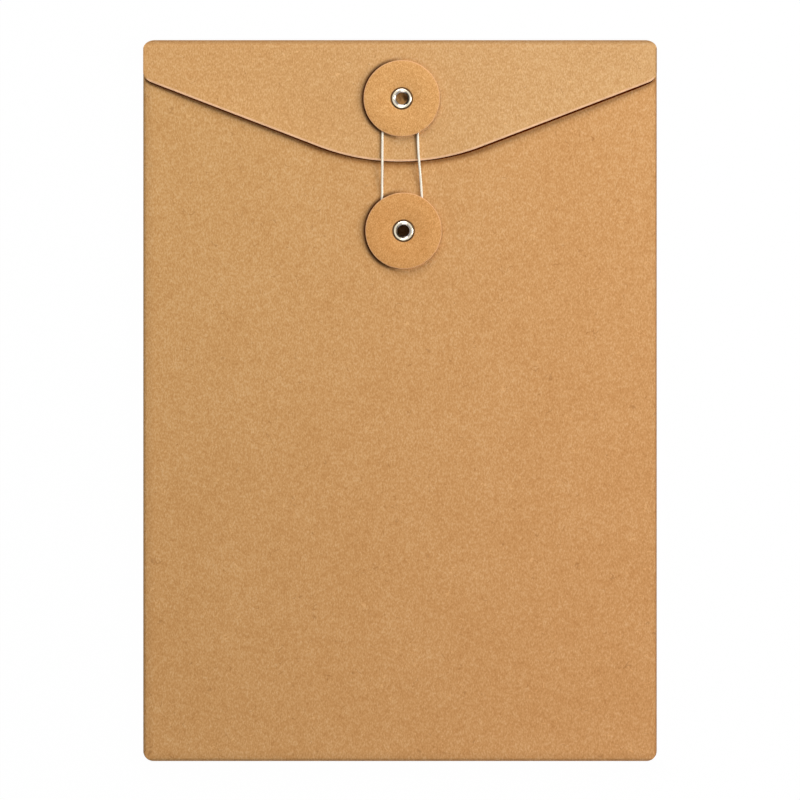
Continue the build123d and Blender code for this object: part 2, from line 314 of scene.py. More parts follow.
def pocket_sheet(face_finish, cut_finish):
    skin = CardSkin()
    margin = 6.0 * MM  # from the eyelet's middle to the lines of the grid beside it
    edge = 0.6 * MM  # from a fold to the line of the grid beside it
    mouth_band = 8.0 * MM  # from the mouth to the line of the grid below it
    side_fade, bottom_fade = 4.0 * MM, 3.2 * MM  # how far in from a crease its painted shade shows
    # Painted shade at the left crease and the bottom fold, at most; the right crease gets it in full
    left_fold_shade, low_fold_shade = 0.18, 0.16
    mitred = 3  # lines of each fold that meet the other fold's at the corner
    unmitred = 7  # the crease's other lines
    corner_steps = 6
    turns = steps(0, mitre_turn, mitred) + steps(mitre_turn, pi / 2, unmitred)
    bends = [crease_radius * turn for turn in turns]

    def round_fold(length):
        """Places along a fold of this length, from its upper crease to its end."""
        return bends + [length - past for past in reversed(bends)] + [length]

    rolls = [flat_x + past for past in round_fold(side_length) + [side_length + tab_width]]
    left_lines = [-flat_x, edge - flat_x, side_fade / 2 - flat_x, side_fade - flat_x]
    right_lines = [pocket_hub.x - margin, pocket_hub.x + margin, flat_x - edge, flat_x]
    inner = left_lines + right_lines
    from_end = [0, 1, 2, 3, 3, 3, 1, 0]  # how many lines each of them is from the nearest end
    columns = [-s for s in reversed(rolls)] + inner + rolls
    heights = [mouth_y, mouth_y - mouth_band, pocket_hub.y + margin, pocket_hub.y - margin]
    heights += [flat_y + bottom_fade, flat_y + bottom_fade / 2, flat_y + edge, flat_y]
    eyelet_cell = (2, len(rolls) + len(left_lines))

    # Painted shade near the creases, fullest on the right
    def painted_fold_shade(s, y):
        right = smooth((s - flat_x + edge / 2) / crease_length)
        left = left_fold_shade * smooth(1 - (s + flat_x) / side_fade)
        low = low_fold_shade * smooth(1 - (y - flat_y) / bottom_fade)
        return max(right, left, low)

    def front_point(s, row):
        places = []
        for depth in (0, card):
            x, z = across(s, depth)
            lowest = side_foot(s, depth) + edge * (len(heights) - 1 - row)
            highest = mouth_y - tab_taper * tab_share(s) - edge * row
            places.append((x, min(max(heights[row], lowest), highest), z))
        return skin.point(*places, painted_fold_shade(s, places[0][1]))

    front_rows = [[front_point(s, row) for s in columns] for row in range(len(heights))]
    hole = eyelet_hole(skin, pocket_hub, front_top, front_top - card)
    skin.grid(front_rows, eyelet_cell, hole)

    def back_point(x, t, count):
        places = []
        for depth in (0, card):
            y, z = along(t, depth)
            end = bottom_end(t, depth)
            reach = min(abs(x), end - edge * count) if count else end
            places.append((reach if x > 0 else -reach, y, z))
        return skin.point(*places, low_fold_shade if flat_y - t < bottom_length / 2 else 0.0)

    lengths = [flat_y] + [flat_y - past for past in round_fold(bottom_length)]
    back_start = flat_y - bottom_length
    lengths.append(back_start - (back_high.x - flat_x))
    lengths.append(back_start - (axis_y - fold_lead - flat_y))
    back_rows = [[back_point(x, t, count) for x, count in zip(inner, from_end)] for t in lengths]
    skin.grid(back_rows)

    def corner_row(first, last, centre, side):
        """Points round a bottom corner, from the end of a side fold to that of the bottom fold."""
        ends = [Vector(skin.outer[n]) - centre for n in (first, last)]
        turns = [atan2(end.y, side * end.x) for end in ends]
        row = [first]
        for share in steps(0, 1, corner_steps)[:-1]:
            turn = turns[0] + (turns[1] - turns[0]) * share
            place = ends[0].lerp(ends[1], share)
            reach = ends[0].xy.length + (ends[1].xy.length - ends[0].xy.length) * share
            places = []
            for depth in (0, card):
                x = centre.x + side * (reach - depth) * cos(turn)
                y = centre.y + (reach - depth) * sin(turn)
                places.append((x, y, place.z))
            corner_shade = skin.fold_shade[first] + (skin.fold_shade[last] - skin.fold_shade[first]) * share
            row.append(skin.point(*places, corner_shade))
        return row + [last]

    feet = front_rows[-1]
    for side in (-1, 1):
        centre = Vector((side * (half_width - corner_radius), corner_radius - half_height, 0))
        side_ends = feet[len(rolls) - 1::-1] if side < 0 else feet[-len(rolls):]
        bottom_ends = [row[0 if side < 0 else -1] for row in back_rows[1:]]
        pairs = list(zip(side_ends, bottom_ends))[mitred - 1:-2 - mitred]
        rows = [corner_row(first, last, centre, side)[::-side] for first, last in pairs[1:]]
        for c in range(len(rows[0]) - 1):
            skin.face((pairs[0][0], rows[0][c], rows[0][c + 1]))
        skin.grid(rows)
    obj = skin.build("pocket_sheet", (face_finish, cut_finish))
    worn = obj.modifiers.new("worn_edges", "BEVEL")
    worn.width = 0.08 * MM
    worn.segments = 2
    worn.limit_method = "ANGLE"
    worn.angle_limit = radians(50)
    worn.material = 1
    return obj


# The flap and its fold
shoulder_y = half_height - flap_side
tip_middle = Vector((0, flap_low.y + flap_tip_radius, flap_high.z))
tip_rise = tip_middle.y - shoulder_y
flap_slope = atan2(half_width, tip_rise) - acos(flap_tip_radius / hypot(half_width, tip_rise))


def flap_edge(top):
    """The flap's cut edge from its top left, round its shoulders and tip, to its top right."""
    shoulder_steps, straight_steps, tip_steps = 12, 18, 20
    inset = shoulder_radius * tan((pi / 2 - flap_slope) / 2)
    shoulder_x = half_width - shoulder_radius
    points = [(-half_width, top)]
    for turn in [0] + steps(0, pi / 2 - flap_slope, shoulder_steps):
        x = -shoulder_x - shoulder_radius * cos(turn)
        points.append((x, shoulder_y + inset - shoulder_radius * sin(turn)))
    start_x, start_y = points[-1]
    tip_x = -flap_tip_radius * sin(flap_slope)
    tip_y = tip_middle.y - flap_tip_radius * cos(flap_slope)
    for share in steps(0, 1, straight_steps)[:-1]:
        points.append((start_x + (tip_x - start_x) * share, start_y + (tip_y - start_y) * share))
    for turn in [-flap_slope] + steps(-flap_slope, 0, tip_steps):
        points.append((flap_tip_radius * sin(turn), tip_middle.y - flap_tip_radius * cos(turn)))
    return points + [(-x, y) for x, y in reversed(points[:-1])]


def outward_from(edge):
    """The direction square to an edge at each of its points, away from the card."""
    directions = []
    for n in range(len(edge)):
        before = edge[max(n - 1, 0)]
        after = edge[min(n + 1, len(edge) - 1)]
        run = hypot(after[0] - before[0], after[1] - before[1])
        directions.append(((after[1] - before[1]) / run, (before[0] - after[0]) / run))
    directions[0], directions[-1] = (-1, 0), (1, 0)
    return directions


def flap_sheet(face_finish, cut_finish, shadow_lip_finish):
    skin = CardSkin()
    edge = flap_edge(axis_y - fold_lead)
    outward = outward_from(edge)
    # In mm: how far in from the edge each line is, and how deep the die has pressed it
    press = [(-0.45, 0.42), (-0.2, 0.36), (-0.1, 0.1), (0.15, 0.03), (0.8, 0.0)]
    lines = press + [(inset, 0.0) for inset in (1.7, 3.0, 5.0, 8.0, 12.0, 16.0)]
    lip_slots = (2, 2, 1, 1)  # a dark lip, painted as the shadow under the edge, then the pale cut
    left_lip, right_lip = 0.2, 0.5  # how many mm wider the dark lip, painted as shadow, is there than at the tip
    lip_run = 40 * MM  # from the tip's middle to where it is that wide
    # How far from the flap's sides its lines are fully spread and its lip is full, its pressing starts
    # and the painted shade of its right side ends
    spread_run, lip_start, press_start, right_shade_run = 30 * MM, 5 * MM, 1.2 * MM, 1.0 * MM
    least_spread, least_lip = 0.12, 0.05  # shares that are left at the sides
    side_inset = 0.04  # in mm, of the lines at the sides
    held = 14 * MM  # the string holds the tip down this far from its middle
    spring_run = 30 * MM  # from there to where the edge springs up in full
    spring_reach = lines[-1][0] * MM
    rings = []
    for inset, depth in lines:
        ring = []
        for (x, y), (nx, ny) in zip(edge, outward):
            spread = smooth((half_width - abs(x)) / spread_run)
            free = smooth((half_width - abs(x)) / lip_start)
            near = min(inset, press[-1][0])
            tight = near * (least_lip + (1 - least_lip) * free) if near < 0 else near
            if inset == press[0][0]:
                tight -= (right_lip if x > 0 else left_lip) * free * smooth(abs(x) / lip_run)
            apart = (inset - near) * (least_spread + (1 - least_spread) * spread)
            reach = (tight + side_inset * (1 - free) + apart) * MM
            spring = flap_spring * spread * smooth((abs(x) - held) / spring_run)
            lift = spring * (1 - reach / spring_reach) ** 2
            px, py = x - nx * reach, y - ny * reach
            top_z = flap_high.z + lift - depth * MM
            # Painted shade along the flap's right side, going on from that of the right crease
            worn = smooth(1 - (half_width - px) / right_shade_run)
            ring.append(skin.point((px, py, top_z), (px, py, flap_low.z + lift), worn))
        rings.append(ring)
    for k, (low, high) in enumerate(zip(rings, rings[1:])):
        for n in range(len(edge) - 1):
            pressed = k < len(lip_slots) and abs(edge[n][0]) < half_width - press_start
            skin.face((low[n], low[n + 1], high[n + 1], high[n]), lip_slots[k] if pressed else 0)
    hole = eyelet_hole(skin, flap_hub, flap_high.z, flap_low.z)
    skin.fill(rings[-1], hole)
    return skin.build("flap_sheet", (face_finish, cut_finish, shadow_lip_finish))


def flap_fold_sheet(face_finish, cut_finish):
    """The half round from the back panel to the flap, with a flat lead onto each."""
    skin = CardSkin()
    columns = (-1, -0.5, 0, 0.5, 1)
    fold_steps = 36
    painted_fold_shade, fold_shade_turn = 0.8, pi / 3  # painted shade at most, and how far round from the flap it gets there

    def end(y, z):
        share = max(0.0, 1 - (half_height - y) / fold_corner_depth)
        reach = half_width - fold_corner_width * (1 - sqrt(1 - share**2))
        return reach if z > axis_z else min(reach, back_high.x)

    def row(turn, lead):
        limit = end(axis_y + axis_z * cos(turn) - lead, axis_z + axis_z * sin(turn))
        ring = []
        for share in columns:
            places = []
            for depth in (0, card):
                radius = axis_z - depth - fold_dent * cos(turn) ** 2
                y = axis_y + radius * cos(turn) - lead
                z = axis_z + radius * sin(turn)
                places.append((share * limit, y, z))
            ring.append(skin.point(*places, painted_fold_shade * smooth((pi / 2 - turn) / fold_shade_turn)))
        return ring

    rows = [row(-pi / 2, fold_lead)]
    rows += [row(turn, 0) for turn in [-pi / 2] + steps(-pi / 2, pi / 2, fold_steps)]
    rows.append(row(pi / 2, fold_lead))
    skin.grid(rows)
    return skin.build("flap_fold_sheet", (face_finish, cut_finish))


# Turned pieces: the card discs and the metal eyelets


def turned(name, profile, centre, finishes, slots, count=160):
    """A closed profile of (radius, height) points, anticlockwise, spun round centre. The slots give
    the finish of each line of it that doesn't have the first one."""
    places = []
    for n in range(count):
        x, y = cos(2 * pi * n / count), sin(2 * pi * n / count)
        places += [(centre.x + radius * x, centre.y + radius * y, z) for radius, z in profile]
    faces = []
    size = len(profile)
    for n in range(count):
        here, there = n * size, (n + 1) % count * size
        for line in range(size):
            after = (line + 1) % size
            faces.append((here + line, there + line, there + after, here + after))
    mesh = bpy.data.meshes.new(name)
    mesh.from_pydata(places, [], faces)
    mesh.polygons.foreach_set("material_index", [slots.get(line, 0) for line in range(size)] * count)
    return piece(name, mesh, finishes)


def card_disc(name, node, finishes):
    """A disc in the finishes of its face, cut rim, ring of painted shade round its eyelet and worn
    corner.
    """
    low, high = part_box(node)
    rim = (high.x - low.x) / 2
    # In mm: insets and falls of the worn corner, and radii and falls of the groove that the eyelet has
    # pressed round itself
    corner = [(0.0, 0.28), (0.07, 0.14), (0.18, 0.05), (0.4, 0.0)]
    groove = [(5.4, 0.0), (5.2, 0.06), (4.95, 0.24), (4.3, 0.3)]
    profile = [(hole_radius, low.z), (rim - 0.12 * MM, low.z), (rim, low.z + 0.1 * MM)]
    profile += [(rim - inset * MM, high.z - fall * MM) for inset, fall in corner]
    profile += [(radius * MM, high.z - fall * MM) for radius, fall in groove]
    profile.append((hole_radius, profile[-1][1]))
    # The lines of the groove get the ring of painted shade
    slots = {1: 1, 2: 1, 3: 1, 4: 3, 5: 3, 8: 2, 9: 2, 10: 2}
    return turned(name, profile, middle(node), finishes, slots)


def rolled_eyelet(name, node, finishes, bore_slot):
    """Sheet metal rolled over the disc, down through the card and out beneath it, in the finishes of
    its bead and of the darker metals painted as shade on its edges and on the lip of its bore."""
    low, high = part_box(node)
    wall, bore, roll = 0.25 * MM, 2.7 * MM, 0.5 * MM
    flange = (high.x - low.x) / 2
    seat = high.z - 0.5 * MM
    under = low.z + roll
    # In mm: insets from the flange's edge and heights over the disc, of the bead, the groove inside it
    # and the lip of the bore, then of the metal's inner side
    bead = [(0.0, 0.02), (0.02, 0.16), (0.12, 0.32), (0.3, 0.44), (0.5, 0.5), (0.7, 0.49)]
    bead += [(0.92, 0.41), (1.12, 0.33), (1.3, 0.24), (1.42, 0.26), (1.52, 0.28), (1.62, 0.25)]
    bead += [(1.74, 0.12), (1.8, -0.06)]
    inside = [(1.55, -0.1), (1.45, 0.04), (1.2, 0.08), (0.6, 0.2), (0.3, 0.14), (0.16, 0.02)]

    def over_disc(places):
        return [(flange - inset * MM, seat + height * MM) for inset, height in places]

    def under_card(radius, first, last, count):
        turns = [first] + steps(first, last, count)
        return [(bore + roll + radius * cos(turn), under + radius * sin(turn)) for turn in turns]

    profile = over_disc(bead) + under_card(roll, pi, 2 * pi, 12)
    profile += under_card(roll - wall, 2 * pi, pi, 10) + over_disc(inside)
    # The edges take the darkest metal, and the inner flank and lip a darker one, both painted as shade
    slots = {line: 1 for line in (0, 1, 8, len(profile) - 1)}
    slots |= {line: 2 for line in (6, 7, 9, 10, 11, 12)}
    slots[len(bead) - 1] = bore_slot
    return turned(name, profile, middle(node), finishes, slots, count=96)


# The string


def round_place(centre, reach, turn, level):
    return centre[0] + reach * cos(turn), centre[1] + reach * sin(turn), level


def turn_points(centre, radius, first, last, level):
    """Control points round a turn, in degrees; the string runs at radius between them."""
    turn_step = 30
    reach = radius / cos(radians(turn_step / 2))
    count = round((last - first) / turn_step)
    turns = [radians(first + turn_step * n) for n in range(count + 1)]
    return [round_place(centre, reach, turn, level) for turn in turns]


def string_route():
    """From the knot round the flap eyelet, down, round the pocket eyelet, up and round again."""
    upper = string_high.z - string_diameter / 2
    lower = string_low.z + string_diameter / 2
    x, y = flap_hub.x, flap_hub.y
    tie_centre = (x + 0.45 * MM, y)
    winding_centre = (x - 0.5 * MM, y)
    loop_centre = (pocket_hub.x - 0.65 * MM, pocket_hub.y)
    wrap_lean, wrap_radius, wrap_growth = 2.3, 7.0 * MM, 0.75 * MM
    last_centre = (x, y - wrap_growth)
    last_reach = wrap_radius + wrap_growth
    stations = ((22.7, upper), (30.7, upper), (41.0, lower), (49.0, lower))

    def strand(*sides):
        """From the flap's disc to the pocket's, at these mm to the side of the flap's hub."""
        return [(x + s * MM, y - drop * MM, level) for s, (drop, level) in zip(sides, stations)]

    route = [(x - 3.9 * MM, y, upper)]
    route += turn_points(tie_centre, 4.35 * MM, 195, 345, upper)
    route += turn_points(winding_centre, 5.3 * MM, 15, 165, upper)
    route += [(x - 5.8 * MM, y - 4.5 * MM, upper), (x - 8.8 * MM, y - 11.6 * MM, upper)]
    route += strand(-8.87, -8.92, -8.98, -9.03)
    route += turn_points(loop_centre, 9.25 * MM, 165, 375, lower)
    route += strand(7.45, 8.10, 9.00, 9.35)[::-1]
    route += turn_points((x, y), wrap_radius, wrap_lean + 15, wrap_lean + 75, upper)
    route += turn_points(last_centre, last_reach, wrap_lean + 105, wrap_lean + 135, upper)
    return route + [round_place(last_centre, last_reach, radians(wrap_lean + 155), upper)]


def spline(name, points, closed=False):
    """A smooth line with these control points, and no thickness."""
    curve = bpy.data.curves.new(name, "CURVE")
    curve.dimensions = "3D"
    line = curve.splines.new("NURBS")
    line.points.add(len(points) - 1)
    for point, place in zip(line.points, points):
        point.co = (*place, 1)
    line.order_u = 3
    line.use_endpoint_u = not closed
    line.use_cyclic_u = closed
    line.resolution_u = 16
    obj = bpy.data.objects.new(name, curve)
    scene.collection.objects.link(obj)
    return obj


def evaluated_mesh(obj):
    bpy.context.view_layer.update()
    graph = bpy.context.evaluated_depsgraph_get()
    return bpy.data.meshes.new_from_object(obj.evaluated_get(graph))


def string_lay_tree():
    """Geometry nodes that lay the plies round a line: a lobed section, turned as it runs along."""
    tree = bpy.data.node_groups.new("string_lay", "GeometryNodeTree")
    kinds = {"Route": "Geometry", "Diameter": "Float", "Lay": "Float", "Step": "Float"}
    kinds |= {"Groove": "Float", "Finish": "Material"}
    for name, kind in kinds.items():
        tree.interface.new_socket(name, in_out="INPUT", socket_type=f"NodeSocket{kind}")
    tree.interface.new_socket("String", in_out="OUTPUT", socket_type="NodeSocketGeometry")

    def node(kind, inputs=None, **settings):
        return add_node(tree, kind, inputs, **settings).outputs

    def sum_of(operation, *values):
        return calculate(tree, operation, *values)

    given = node("NodeGroupInput")
    spacing = {"Curve": given["Route"], "Length": given["Step"]}
    spaced = node("GeometryNodeResampleCurve", spacing, mode="LENGTH")
    run = node("GeometryNodeSplineParameter")["Length"]
    twist = sum_of("MULTIPLY", sum_of("DIVIDE", run, given["Lay"]), 2 * pi)
    twisted = node("GeometryNodeSetCurveTilt", {"Curve": spaced["Curve"], "Tilt": twist})

    radius = sum_of("MULTIPLY", given["Diameter"], 0.5)
    size = {"Resolution": 8 * plies, "Radius": radius}
    section = node("GeometryNodeCurvePrimitiveCircle", size, mode="RADIUS")
    place = node("GeometryNodeInputPosition")["Position"]
    parts = node("ShaderNodeSeparateXYZ", {"Vector": place})
    angle = sum_of("ARCTAN2", parts["Y"], parts["X"])
    lobe = sum_of("ABSOLUTE", sum_of("COSINE", sum_of("MULTIPLY", angle, plies / 2)))
    fall = sum_of("MULTIPLY", sum_of("SUBTRACT", 1.0, lobe), given["Groove"])
    lobing = {0: place, "Scale": sum_of("SUBTRACT", 1.0, fall)}
    lobed = node("ShaderNodeVectorMath", lobing, operation="SCALE")
    profile = {"Geometry": section["Curve"], "Position": lobed[0]}
    moved = node("GeometryNodeSetPosition", profile)

    sweep = {"Curve": twisted["Curve"], "Profile Curve": moved["Geometry"], "Fill Caps": True}
    swept = node("GeometryNodeCurveToMesh", sweep)
    real = node("GeometryNodeRealizeInstances", {"Geometry": swept["Mesh"]})
    finishing = {"Geometry": real["Geometry"], "Material": given["Finish"]}
    finished = node("GeometryNodeSetMaterial", finishing)
    node("NodeGroupOutput", {"String": finished["Geometry"]})
    return tree


lay_tree = string_lay_tree()


def laid_string(name, line, finish, diameter, lay, step):
    """The string's plies along a line, as a plain mesh."""
    laying = line.modifiers.new("lay", "NODES")
    laying.node_group = lay_tree
    values = {"Diameter": diameter, "Lay": lay, "Step": step, "Groove": ply_groove, "Finish": finish}
    for item in lay_tree.interface.items_tree:
        if item.in_out == "INPUT" and item.name in values:
            laying[item.identifier] = values[item.name]
    mesh = evaluated_mesh(line)
    mesh.name = name
    bpy.data.objects.remove(line)
    mesh.materials.clear()
    return piece(name, mesh, (finish,), sharp=180)


def knot_route():
    """A trefoil, drawn tight and pressed flat where the CAD knot is."""
    low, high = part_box("string_knot")
    centre = (low + high) / 2
    trefoil_reach, flatness, count = 2.75, 0.7, 24
    size = (high - low) * 0.36  # which leaves room for the plies
    route = []
    for n in range(count):
        turn = 2 * pi * n / count
        x = (sin(turn) + 2 * sin(2 * turn)) / trefoil_reach
        y = (cos(turn) - 2 * cos(2 * turn)) / trefoil_reach
        rise = -flatness * sin(3 * turn)
        route.append((centre.x + size.x * x, centre.y + size.y * y, centre.z + size.z * rise))
    return route


# Finishes


class Finish:
    """A material's nodes, with short calls for those that the finishes share."""

    def __init__(self, name):
        self.material = bpy.data.materials.new(name)
        self.material.use_nodes = True
        self.tree = self.material.node_tree
        self.tree.nodes.clear()
        self.shader = self.node("ShaderNodeBsdfPrincipled")
        self.node("ShaderNodeOutputMaterial", {"Surface": self.shader.outputs[0]})
        self.place = self.node("ShaderNodeTexCoord").outputs["Object"]

    def node(self, kind, inputs=None, **settings):
        return add_node(self.tree, kind, inputs, **settings)

    def surface(self, inputs):
        connect(self.tree, self.shader, inputs)

    def axes(self):
        """X, Y and Z of a place on the piece."""
        return self.node("ShaderNodeSeparateXYZ", {"Vector": self.place}).outputs

    def mapped(self, scale, turn=0.0, shift=(0, 0, 0)):
        inputs = {"Vector": self.place, "Scale": scale, "Rotation": (0, 0, turn), "Location": shift}
        return self.node("ShaderNodeMapping", inputs).outputs[0]

    def noise(self, place, size, detail=2.0, rough=0.5, warp=0.0):
        inputs = {"Vector": place, "Scale": 1 / size, "Detail": detail}
        inputs |= {"Roughness": rough, "Distortion": warp}
        return self.node("ShaderNodeTexNoise", inputs).outputs[0]

    def sum(self, operation, *values):
        return calculate(self.tree, operation, *values)

    def product(self, first, *others):
        for value in others:
            first = self.sum("MULTIPLY", first, value)
        return first

    def range(self, value, low, high, to_low=0.0, to_high=1.0):
        inputs = dict(enumerate((value, low, high, to_low, to_high)))
        return self.node("ShaderNodeMapRange", inputs, interpolation_type="SMOOTHSTEP").outputs[0]

    def mix(self, share, body, colour, blend="MIX"):
        inputs = {0: share, 6: body, 7: (*colour, 1)}
        return self.node("ShaderNodeMix", inputs, data_type="RGBA", blend_type=blend).outputs[2]

    def tint(self, body, share, factors):
        """The colour of the body, multiplied by factors where share is 1."""
        return self.mix(share, body, factors, "MULTIPLY")

    def bearing_from(self, hub, bearing):
        """How far a place is from a hub, seen along Z, and how much it lies towards a bearing."""
        place = self.axes()
        x = self.sum("SUBTRACT", place["X"], hub.x)
        y = self.sum("SUBTRACT", place["Y"], hub.y)
        reach = self.sum("SQRT", self.sum("ADD", self.sum("POWER", x, 2.0), self.sum("POWER", y, 2.0)))
        towards = self.sum("ADD", self.product(x, cos(bearing)), self.product(y, sin(bearing)))
        return reach, self.sum("DIVIDE", towards, reach)

    def ramp(self, value, stops):
        made = self.node("ShaderNodeValToRGB", {0: value})
        while len(made.color_ramp.elements) < len(stops):
            made.color_ramp.elements.new(1.0)
        for element, (place, colour) in zip(made.color_ramp.elements, stops):
            element.position = place
            element.color = (*colour, 1)
        return made.outputs[0]

    def bump(self, height, distance):
        made = self.node("ShaderNodeBump", {"Distance": distance, "Height": height})
        self.surface({"Normal": made.outputs[0]})


def tinted(colour, factors):
    return tuple(channel * factor for channel, factor in zip(colour, factors))


def kraft(name, colour, grain_size, grain_depth, cloud_depth, turn=0.0, speckle=1.0):
    """Unbleached card: fibre grain, cloudy pulp, dark specks and stray fibres. Returns the finish and
    its colour, for marks to go on top."""
    finish = Finish(name)
    grain_stretch, pulp_size, pulp_depth, cloud_size = 0.53, 3.2 * MM, 0.2, 30 * MM
    mark_share = 0.5 * speckle  # of the fibres and specks
    grain = finish.noise(finish.mapped((1.0, grain_stretch, 1.0), turn), grain_size, 3.0, 0.6)
    pulp = finish.noise(finish.place, pulp_size)
    cloud = finish.noise(finish.place, cloud_size)
    tone = 0.5
    for part, depth in ((grain, grain_depth), (pulp, pulp_depth), (cloud, cloud_depth)):
        tone = finish.sum("ADD", tone, finish.product(finish.sum("SUBTRACT", part, 0.5), depth))
    dark = tinted(colour, (0.58, 0.38, 0.16))
    pale = tinted(colour, (1.40, 1.80, 2.60))
    body = finish.ramp(tone, ((0.0, dark), (0.5, colour), (1.0, pale)))

    # Stray fibres: short stretches of the contour lines of a slow noise, pale ones and dark ones
    stretch_size = 4.0 * MM
    for size, shift, shade in ((5.0, 0.0, (1.35, 1.5, 1.75)), (6.5, 0.7, (0.6, 0.5, 0.4))):
        place = finish.mapped((1, 1, 1), turn, (shift, shift, 0))
        level = finish.sum("SUBTRACT", finish.noise(place, size * MM, 1.0, 0.5, 0.6), 0.5)
        line = finish.range(finish.sum("ABSOLUTE", level), 0.004, 0.014, 1.0, 0.0)
        stretch = finish.range(finish.noise(place, stretch_size, 1.0), 0.60, 0.66)
        share = finish.product(line, stretch, mark_share)
        body = finish.mix(share, body, tinted(colour, shade))

    speck_spacing = 5 * MM
    scatter = {"Vector": finish.place, "Scale": 1 / speck_spacing}
    specks = finish.node("ShaderNodeTexVoronoi", scatter).outputs
    speck_size = finish.range(specks["Color"], 0.4, 1.0, 0.0, 0.06)
    near = finish.sum("LESS_THAN", specks["Distance"], speck_size)
    speck_colour = tinted(colour, (0.36, 0.27, 0.18))
    body = finish.mix(finish.product(near, mark_share), body, speck_colour)

    roughness = finish.range(grain, 0.3, 0.7, 0.66, 0.56)
    finish.surface({"Base Color": body, "Roughness": roughness, "Specular IOR Level": 0.06})
    finish.bump(grain, 0.03 * MM)
    return finish, body


def envelope_card(name, colour, right_painted_light, hub, level, strand_shadow):
    """Kraft with painted light towards the right, painted shade along its creases, a painted shadow
    and painted light round a disc, and painted shadows beside the strands. Returns the finish, its
    colour and the share of it that is the sheet's upper face."""
    finish, body = kraft(name, colour, 0.62 * MM, 0.9, 0.1)
    x, y, z = finish.axes()
    # Painted light towards the right, where the lamps fall, as a paler sheen on the flap
    body = finish.tint(body, finish.range(x, -half_width, half_width), right_painted_light)
    # Painted shade along the creases
    crease = finish.node("ShaderNodeAttribute", attribute_name="crease").outputs["Fac"]
    body = finish.tint(body, crease, (0.45, 0.42, 0.39))
    upper = finish.sum("GREATER_THAN", z, level - card / 2)

    # Painted shadow on the disc's left, and painted light on its lower right against the lamps' shadow
    # there
    painted_shadow = (175, 0.1 * MM, 2.0 * MM, -0.1, 0.9, (0.09, 0.035, 0.01))
    painted_light = (300, 0.0, 3.0 * MM, 0.5, 0.95, (1.3, 1.3, 1.3))
    for bearing, start, end, faint, full, factors in (painted_shadow, painted_light):
        reach, lean = finish.bearing_from(hub, radians(bearing))
        beside = finish.range(reach, disc_rim + start, disc_rim + end, 1.0, 0.0)
        mark = finish.product(beside, finish.range(lean, faint, full), upper)
        body = finish.tint(body, mark, factors)

    # Painted shadow on the left of each strand, which fades out where the strand goes under the discs
    for pass_x, slant in strands:
        along_y = finish.sum("SUBTRACT", y, flap_hub.y - strand_drop)
        strand_x = finish.sum("ADD", finish.product(along_y, slant), flap_hub.x + pass_x)
        aside = finish.sum("SUBTRACT", x, strand_x)
        mark = finish.product(
            finish.range(aside, -1.9 * MM, -0.4 * MM),
            finish.range(aside, -0.1 * MM, 0.3 * MM, 1.0, 0.0),
            finish.range(along_y, 18.0 * MM, 22.0 * MM, 1.0, 0.0),
            finish.range(along_y, -16.0 * MM, -12.0 * MM),
            upper,
        )
        body = finish.tint(body, mark, strand_shadow)
    finish.surface({"Base Color": body})
    return finish, body, upper


def pocket_card(name, colour, right_painted_light, low_shade, strand_shadow):
    """The envelope's card, with painted shade towards the bottom, a painted shadow below the flap's
    edge, and painted light and a painted shadow on the card under the flap's eyelet."""
    finish, body, upper = envelope_card(name, colour, right_painted_light, pocket_hub, front_top, strand_shadow)
    # Painted shade towards the bottom
    downward = finish.range(finish.axes()["Y"], -half_height, half_height, 1.0, 0.0)
    body = finish.tint(body, downward, low_shade)

    # How far a place lies outside the flap's edge: its round tip, or past that its straight sides
    reach, lean = finish.bearing_from(tip_middle, -pi / 2)
    turn = finish.sum("SUBTRACT", finish.sum("ARCCOSINE", lean), flap_slope)
    past = finish.sum("MAXIMUM", turn, 0.0)
    level = finish.product(reach, finish.sum("COSINE", past))
    outside = finish.sum("SUBTRACT", level, flap_tip_radius)
    side_turn = 0.12  # past the tip's end, where the painted shadow is as along the sides
    # Painted shadow of the flap's edge on the card below it, wider and darker at the tip
    tip_width, side_width = 4.2 * MM, 2.2 * MM
    tip_shadow, side_shadow = 0.5, 0.28
    width = finish.range(past, 0.0, side_turn, tip_width, side_width)
    painted_shadow = finish.product(
        finish.range(outside, -1.0 * MM, 0.0),
        finish.range(outside, 0.4 * MM, width, 1.0, 0.0),
        finish.range(past, 0.0, side_turn, tip_shadow, side_shadow),
        upper,
    )
    body = finish.tint(body, painted_shadow, (0.50, 0.26, 0.01))

    # Painted light on the card under the flap's eyelet, with a painted shadow on its right
    reach, lean = finish.bearing_from(flap_hub, radians(20))
    eyelet_light = finish.product(finish.range(reach, 1.2 * MM, 3.4 * MM, 1.0, 0.0), upper)
    body = finish.tint(body, eyelet_light, (1.45, 1.45, 1.35))
    rightward = finish.range(finish.product(reach, lean), 0.0, 1.7 * MM)
    body = finish.tint(body, finish.product(rightward, eyelet_light), (0.30, 0.24, 0.16))
    finish.surface({"Base Color": body})
    return finish.material


def disc_card(name, colour, turn):
    """Finer kraft for a disc, with its grain turned by some degrees."""
    return kraft(name, colour, 0.42 * MM, 1.1, 0.03, radians(turn), 0.6)[0].material


def cut_card(name, colour):
    """A cut edge of the card, or a band of it darkened as painted shade: pulp in thin pressed layers.
    """
    finish = Finish(name)
    layers = finish.noise(finish.mapped((0.12, 0.12, 6.0)), 0.6 * MM)
    fibres = finish.noise(finish.place, 0.5 * MM)
    tone = finish.product(finish.sum("ADD", layers, fibres), 0.5)
    dark = tinted(colour, (0.72, 0.66, 0.6))
    pale = tinted(colour, (1.12, 1.14, 1.16))
    body = finish.ramp(tone, ((0.25, dark), (0.55, colour), (0.8, pale)))
    finish.surface({"Base Color": body, "Roughness": 0.8, "Specular IOR Level": 0.03})
    finish.bump(tone, 0.03 * MM)
    return finish.material


